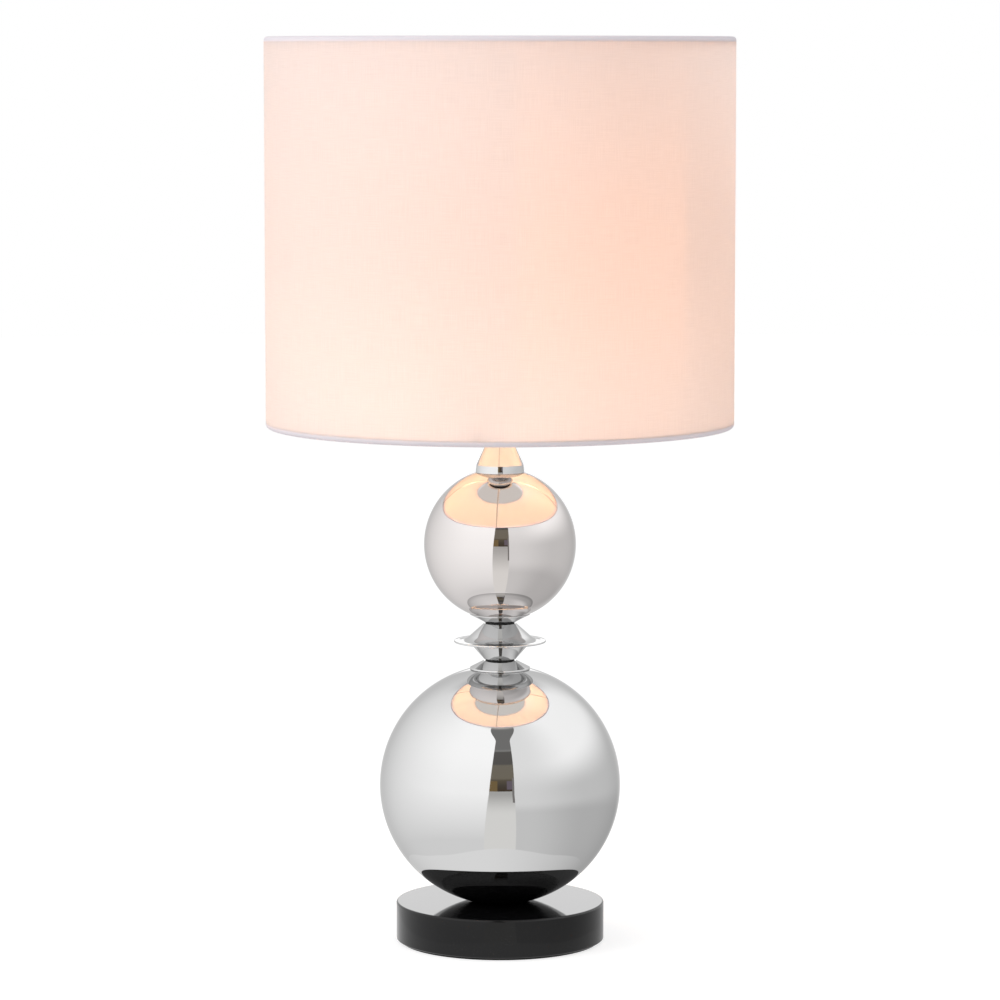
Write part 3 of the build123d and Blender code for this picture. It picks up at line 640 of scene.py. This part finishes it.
liner_low, liner_high = span("shade_liner")
liner_radius = SHADE_RADIUS - COVER_THICKNESS - LINER_THICKNESS
liner_outline = upright(liner_radius, liner_low, liner_high, 12)
lining = spin("shade_lining", liner_outline, segments=360, closed=False)
dress(lining, film, "shade", "liner", "shade_liner")
lining.visible_shadow = False
lining_lap = curved_strip(
    "shade_lining_lap", liner_radius - LINER_THICKNESS, liner_low, liner_high, LINER_LAP,
    facing=90, tuck=LINER_LAP_TUCK,
)
dress(lining_lap, film, "shade", "liner")
lining_lap.visible_shadow = False

# Bulb glass: concave neck, belly and rounded end, each an arc that meets the next smoothly
glass_low, glass_high = span("bulb_glass")
BULB_NECK_RADIUS = 8.25
BULB_RADIUS = 17.5
BULB_END_RADIUS = 4.5
BULB_BELLY_SHARE = 0.4
BULB_END_ANGLE = 89.5
belly_rise = (glass_high - glass_low) * BULB_BELLY_SHARE
belly_height = glass_low + belly_rise
neck_inset = BULB_RADIUS - BULB_NECK_RADIUS
neck_arc = (neck_inset**2 + belly_rise**2) / (2 * neck_inset)
neck_turn = math.degrees(math.asin(belly_rise / neck_arc))
end_height = glass_high - BULB_END_RADIUS
taper_rise = end_height - belly_height
taper_arc = (BULB_RADIUS**2 + taper_rise**2 - BULB_END_RADIUS**2) / (
    2 * (BULB_RADIUS - BULB_END_RADIUS)
)
taper_turn = math.degrees(math.asin(taper_rise / (taper_arc - BULB_END_RADIUS)))
glass_outline = (
    arc((BULB_RADIUS - neck_arc, belly_height), neck_arc, -neck_turn, 0, 16)
    + arc((BULB_RADIUS - taper_arc, belly_height), taper_arc, 0, taper_turn, 24)[1:]
    + arc((0, end_height), BULB_END_RADIUS, taper_turn, BULB_END_ANGLE, 8)[1:]
)
bulb = spin("bulb_envelope", glass_outline, segments=96, closed=False)
dress(bulb, opal, "bulb", "opal", "bulb_glass")
bulb.visible_shadow = False

# CAD nodes that keep their solids
paint_nodes(["stone_base"], stone)
paint_nodes(["felt_pad"], felt)
paint_nodes(["ball_seat", "lower_gasket", "upper_gasket"], rubber)
paint_nodes(["cord_bushing", "holder_skirt", "shade_ring_nut"], black_plastic)
paint_nodes(
    ["base_washer", "lock_washer", "base_nut", "threaded_rod", "top_nut", "terminal_screws"], steel
)
paint_nodes(["fitter_ring", "fitter_arms", "shade_bottom_ring", "shade_top_ring"], wire)
paint_nodes(["holder_cup"], chrome)
paint_nodes(["holder_core"], ceramic)
paint_nodes(["screw_shell", "centre_contact"], brass)
paint_nodes(["bulb_cap", "bulb_tip"], bulb_metal)
paint_nodes(["bulb_insulator"], bulb_black)


# Surroundings, seen by the camera as white and by the plating as a small photo studio
def greater(tree, value, limit):
    return maths(tree, "GREATER_THAN", value, limit)


def surroundings(tree, azimuth, rise):
    """What the metal mirrors: white screens left and right, a dim room between them.

    azimuth is 0 towards -Y and positive to the right, rise is the angle over the horizon,
    both in degrees. Rises below 0 are points on the table seen from MIRROR_HEIGHT above it.
    """
    below = maths(tree, "MAXIMUM", maths(tree, "MULTIPLY", rise, -1.0), 0.0)
    sink = maths(tree, "TANGENT", maths(tree, "RADIANS", below))

    left = maths(
        tree, "ADD",
        blend_range(tree, azimuth, -170, -40, 0.62, 0.86),
        blend_range(tree, rise, 0, 40, 0.0, 0.06),
    )
    # Painted shade: close to the lamp, the table on the left is darker
    near_left_shade = maths(tree, "MINIMUM", maths(tree, "DIVIDE", sink, 0.65), 1.0)
    left = mix_values(tree, near_left_shade, left, 0.6)

    low_right = blend_range(tree, azimuth, 20, 90, 0.62, 0.5)
    high_right = blend_range(tree, azimuth, 25, 85, 0.7, 0.87)
    right = mix_values(tree, blend_range(tree, rise, 0, 27), low_right, high_right)
    # Painted shade: close to the lamp, the table on the right is darker, away from the key light
    near_right_shade = blend_range(tree, sink, 0.12, 0.28)
    right = mix_values(tree, near_right_shade, right, blend_range(tree, azimuth, 20, 80, 0.52, 0.41))

    screens = mix_values(tree, greater(tree, azimuth, 0.0), left, right)
    behind = maths(tree, "ABSOLUTE", azimuth)
    rear = blend_range(tree, rise, 35, 50, 0.6, 0.3)
    screens = mix_values(tree, blend_range(tree, behind, 140, 168), screens, rear)
    backdrop = maths(
        tree, "MULTIPLY",
        blend_range(tree, behind, 172, 175),
        maths(
            tree, "MULTIPLY",
            blend_range(tree, rise, 6, 8), blend_range(tree, rise, 15, 17, 1.0, 0.0),
        ),
    )
    screens = mix_values(tree, backdrop, screens, 1.3)
    screens = node(tree, "ShaderNodeCombineColor", {0: screens, 1: screens, 2: screens}).outputs[0]

    room_ramp = node(tree, "ShaderNodeValToRGB", {0: maths(tree, "DIVIDE", rise, 90.0)})
    stops = room_ramp.color_ramp.elements
    for degrees, colour in (
        (3, (0.05, 0.036, 0.025)), (8, (0.06, 0.05, 0.04)), (13, (0.09, 0.075, 0.055)),
        (15, (0.145, 0.128, 0.1)), (27, (0.145, 0.13, 0.105)), (28.5, (0.085, 0.08, 0.075)),
        (40, (0.09, 0.085, 0.08)), (41, (0.2, 0.197, 0.19)), (43, (0.15, 0.148, 0.145)),
    ):
        stop = stops.new(degrees / 90.0)
        stop.color = (*colour, 1.0)
    stops.remove(stops[-1])
    stops.remove(stops[0])
    room = room_ramp.outputs[0]
    above_table = greater(tree, rise, TABLE_END_RISE)
    clutter = maths(tree, "MULTIPLY", above_table, blend_range(tree, rise, 12, 13, 1.0, 0.0))
    brown = maths(tree, "MULTIPLY", clutter, blend_range(tree, azimuth, -3, -2, 1.0, 0.0))
    room = mix_colours(tree, brown, room, (0.15, 0.105, 0.05))
    mauve = maths(
        tree, "MULTIPLY", clutter,
        maths(tree, "MULTIPLY", blend_range(tree, azimuth, 6, 7), blend_range(tree, rise, 4, 5)),
    )
    room = mix_colours(tree, mauve, room, (0.12, 0.1, 0.12))
    foot = mix_colours(
        tree, blend_range(tree, sink, -0.1, 0.3), (0.3, 0.297, 0.288), (0.625, 0.62, 0.605)
    )
    room = mix_colours(tree, above_table, foot, room)

    widen = blend_range(tree, rise, 50, 63, 0.0, 12.0)
    lean = maths(tree, "MULTIPLY", rise, 0.09)
    left_edge = maths(tree, "SUBTRACT", maths(tree, "SUBTRACT", lean, 10.5), widen)
    right_edge = maths(tree, "ADD", widen, 13.6)
    beside_edge = greater(tree, azimuth, maths(tree, "SUBTRACT", right_edge, 2.0))
    upper_end = blend_range(tree, rise, 14, 16, 1.0, 0.0)
    strip = maths(tree, "MULTIPLY", greater(tree, rise, -7.0), upper_end)
    dark_edge = maths(tree, "MULTIPLY", beside_edge, strip)
    room = mix_colours(tree, dark_edge, room, (0.17, 0.16, 0.155))
    inside = maths(
        tree, "MULTIPLY",
        greater(tree, azimuth, left_edge), maths(tree, "LESS_THAN", azimuth, right_edge),
    )
    seen = mix_colours(tree, inside, screens, room)
    return mix_colours(tree, blend_range(tree, rise, 62, 66), seen, (0.56, 0.53, 0.5))


def looked_up(tree, x, y):
    """Azimuth in degrees of a direction or place, 0 towards -Y."""
    front = maths(tree, "MULTIPLY", y, -1.0)
    return maths(tree, "DEGREES", maths(tree, "ARCTAN2", x, front))


def by_ray(tree, seen, mirrored, lighting):
    """One shader for the camera, one for shine and clear glass, and one for all other light."""
    paths = node(tree, "ShaderNodeLightPath")
    shiny = maths(
        tree, "MAXIMUM", paths.outputs["Is Glossy Ray"], paths.outputs["Is Transmission Ray"]
    )
    # Light that cloth passes on is a transmission ray too, but a diffuse one
    sharp = maths(tree, "SUBTRACT", 1.0, paths.outputs["Is Diffuse Ray"])
    shiny = maths(tree, "MULTIPLY", shiny, sharp)
    first = node(
        tree, "ShaderNodeMixShader", {0: shiny, 1: lighting.outputs[0], 2: mirrored.outputs[0]}
    )
    second = node(
        tree, "ShaderNodeMixShader",
        {0: paths.outputs["Is Camera Ray"], 1: first.outputs[0], 2: seen.outputs[0]},
    )
    return second.outputs[0]


def studio_world():
    world = bpy.data.worlds.new("studio")
    bpy.context.scene.world = world
    world.use_nodes = True
    tree = world.node_tree
    tree.nodes.clear()
    way = node(tree, "ShaderNodeTexCoord").outputs["Generated"]
    x, y, z = node(tree, "ShaderNodeSeparateXYZ", {0: way}).outputs
    rise = maths(tree, "DEGREES", maths(tree, "ARCSINE", z))
    room = surroundings(tree, looked_up(tree, x, y), rise)
    seen = node(tree, "ShaderNodeBackground", {"Color": (1, 1, 1, 1), "Strength": 1.0})
    mirrored = node(tree, "ShaderNodeBackground", {"Color": room, "Strength": 1.0 / PLATING})
    lighting = node(
        tree, "ShaderNodeBackground", {"Color": (0.98, 0.985, 1.0, 1), "Strength": WORLD_LIGHT}
    )
    output = node(tree, "ShaderNodeOutputWorld")
    tree.links.new(by_ray(tree, seen, mirrored, lighting), output.inputs["Surface"])


def table_material():
    """White table that keeps shadows. The metal sees on it painted shade: a grey patch under the
    lamp.

    The edge and the level of that patch change with the azimuth; it is darker towards the right.
    """
    made = bpy.data.materials.new("table")
    made.use_nodes = True
    tree = made.node_tree
    tree.nodes.clear()
    place = node(tree, "ShaderNodeNewGeometry").outputs["Position"]
    split = node(tree, "ShaderNodeSeparateXYZ", {0: place})
    x, y = split.outputs[0], split.outputs[1]
    azimuth = looked_up(tree, x, y)
    squares = [maths(tree, "MULTIPLY", part, part) for part in (x, y)]
    reach = maths(tree, "SQRT", maths(tree, "ADD", *squares))
    slant = maths(tree, "DIVIDE", MIRROR_HEIGHT, reach)
    fall = maths(tree, "DEGREES", maths(tree, "ARCTANGENT", slant))
    mirror = surroundings(tree, azimuth, maths(tree, "MULTIPLY", fall, -1.0))
    behind = maths(tree, "ABSOLUTE", azimuth)
    rear = blend_range(tree, behind, 130, 178)
    wider = maths(
        tree, "ADD",
        blend_range(tree, azimuth, -150, -70, 0.035, 0.0),
        blend_range(tree, azimuth, 80, 150, 0.0, -0.015),
    )
    edge = maths(
        tree, "ADD", blend_range(tree, behind, 0, 55, 0.125, 0.107),
        mix_values(tree, rear, wider, 0.01),
    )
    # Painted shade: a grey patch of table under the lamp, darker towards the right
    from_shaded_patch = maths(tree, "SUBTRACT", reach, edge)
    patch_shade_level = mix_values(tree, rear, blend_range(tree, azimuth, -20, 130, 0.66, 0.4), 0.53)
    shaded_patch = node(
        tree, "ShaderNodeCombineColor", {0: patch_shade_level, 1: patch_shade_level, 2: patch_shade_level}
    ).outputs[0]
    mirror = mix_colours(tree, blend_range(tree, from_shaded_patch, -0.001, 0.001), shaded_patch, mirror)
    lighting = node(tree, "ShaderNodeBsdfDiffuse", {"Color": (0.8, 0.8, 0.8, 1)})
    pale = node(tree, "ShaderNodeBsdfDiffuse", {"Color": (TABLE_TONE, TABLE_TONE, TABLE_TONE, 1)})
    lift = node(
        tree, "ShaderNodeEmission",
        {"Color": (1, 1, 1, 1), "Strength": 1.0 - TABLE_TONE * WORLD_LIGHT + TABLE_EXTRA},
    )
    seen = node(tree, "ShaderNodeAddShader", {0: pale.outputs[0], 1: lift.outputs[0]})
    mirrored = node(tree, "ShaderNodeEmission", {"Color": mirror, "Strength": 1.0 / PLATING})
    output = node(tree, "ShaderNodeOutputMaterial")
    tree.links.new(by_ray(tree, seen, mirrored, lighting), output.inputs["Surface"])
    return made


def table_top():
    """A wide round table top, a hair below z = 0 so that it never meets the lamp's foot."""
    outline = [(0.01, 0.0), (400.0, 0.0), (6000.0, 0.0)]
    piece = spin("table_top", outline, segments=96, closed=False)
    for polygon in piece.data.polygons:
        polygon.use_smooth = False
    piece.data.flip_normals()
    piece.data.materials.append(table_material())
    piece.location.z = -0.0001


# Middle of the table lamp, size of the soft lights and radius of the glowing ones, in metres
LAMP_MIDDLE = (0.0, 0.0, 0.3)
SOFT_LIGHT_SIZE = 1.6
GLOW_RADIUS = 0.02


def soft_light(name, place, power, receivers=None):
    """Square area light aimed at the middle of the lamp, unseen by camera and chrome."""
    lamp = bpy.data.lights.new(name, "AREA")
    lamp.size = SOFT_LIGHT_SIZE
    lamp.energy = power
    holder = bpy.data.objects.new(name, lamp)
    holder.location = place
    aim = Vector(LAMP_MIDDLE) - Vector(place)
    holder.rotation_euler = aim.to_track_quat("-Z", "Y").to_euler()
    holder.visible_camera = False
    holder.visible_glossy = False
    holder.light_linking.receiver_collection = receivers
    bpy.context.collection.objects.link(holder)


def glow(name, place, power, colour, receivers, blockers=None):
    """Round soft light inside the shade for some pieces only, unseen by camera and chrome."""
    lamp = bpy.data.lights.new(name, "POINT")
    lamp.energy = power
    lamp.color = colour
    lamp.shadow_soft_size = GLOW_RADIUS
    holder = bpy.data.objects.new(name, lamp)
    holder.location = place
    holder.visible_camera = False
    holder.visible_glossy = False
    holder.light_linking.receiver_collection = receivers
    holder.light_linking.blocker_collection = blockers
    bpy.context.collection.objects.link(holder)


def linking_group(name, pieces, state):
    """A collection for light linking: the pieces that count for a light, or those that don't."""
    group = bpy.data.collections.new(name)
    for piece in pieces:
        group.objects.link(piece)
    for entry in group.collection_objects:
        entry.light_linking.link_state = state
    return group


studio_world()
table_top()
soft_light("key", place=(-2.4, -1.4, 1.75), power=32.0)

# The bulb's light comes from lamps near the axis: one set for the cloth, whose light the
# cloth itself doesn't block, and one for all else but the bulb. The fill lights the hems only
cloth_pieces = (cloth, low_hem, high_hem, seam)
on_cloth = linking_group("lit_cloth", cloth_pieces, "INCLUDE")
inside = linking_group("lit_inside", (*cloth_pieces, bulb), "EXCLUDE")
on_hems = linking_group("lit_hems", (low_hem, high_hem), "INCLUDE")
soft_light("fill", place=(2.6, -1.5, 1.0), power=9.0, receivers=on_hems)
not_cloth = linking_group("cast_cloth", [cloth], "EXCLUDE")
for name, place, power, colour in (
    ("cloth_low", (0.0, -0.03, 0.345), 0.48, (1.0, 0.73, 0.58)),
    ("cloth_middle", (0.0, -0.03, 0.45), 0.31, (1.0, 0.3, 0.02)),
    ("cloth_high", (0.0, -0.03, 0.555), 0.33, (1.0, 0.64, 0.5)),
    ("cloth_right", (0.07, -0.03, 0.45), 0.136, (1.0, 0.31, 0.02)),
):
    glow(name, place, power, colour, on_cloth, not_cloth)
inner_places = (
    (-0.05, 0.02, 0.345, 0.21), (0.05, 0.02, 0.345, 0.21), (0.0, 0.04, 0.43, 0.42),
    (0.0, 0.0, 0.53, 0.42),
)
for step, (x, y, height, power) in enumerate(inner_places):
    glow(f"inner_{step}", (x, y, height), power, (1.0, 0.57, 0.3), inside)

# Camera
camera_data = bpy.data.cameras.new("camera")
camera_data.sensor_width = SENSOR_WIDTH
camera_data.lens = FOCAL_PIXELS / PHOTO_SIZE * SENSOR_WIDTH
camera_data.clip_end = 50.0
camera = bpy.data.objects.new("camera", camera_data)
camera.location = (0.0, -CAMERA_DISTANCE, CAMERA_HEIGHT)
camera.rotation_euler = (math.pi / 2 - CAMERA_PITCH, 0.0, 0.0)
bpy.context.collection.objects.link(camera)
bpy.context.scene.camera = camera
bpy.context.scene.view_settings.view_transform = "Standard"
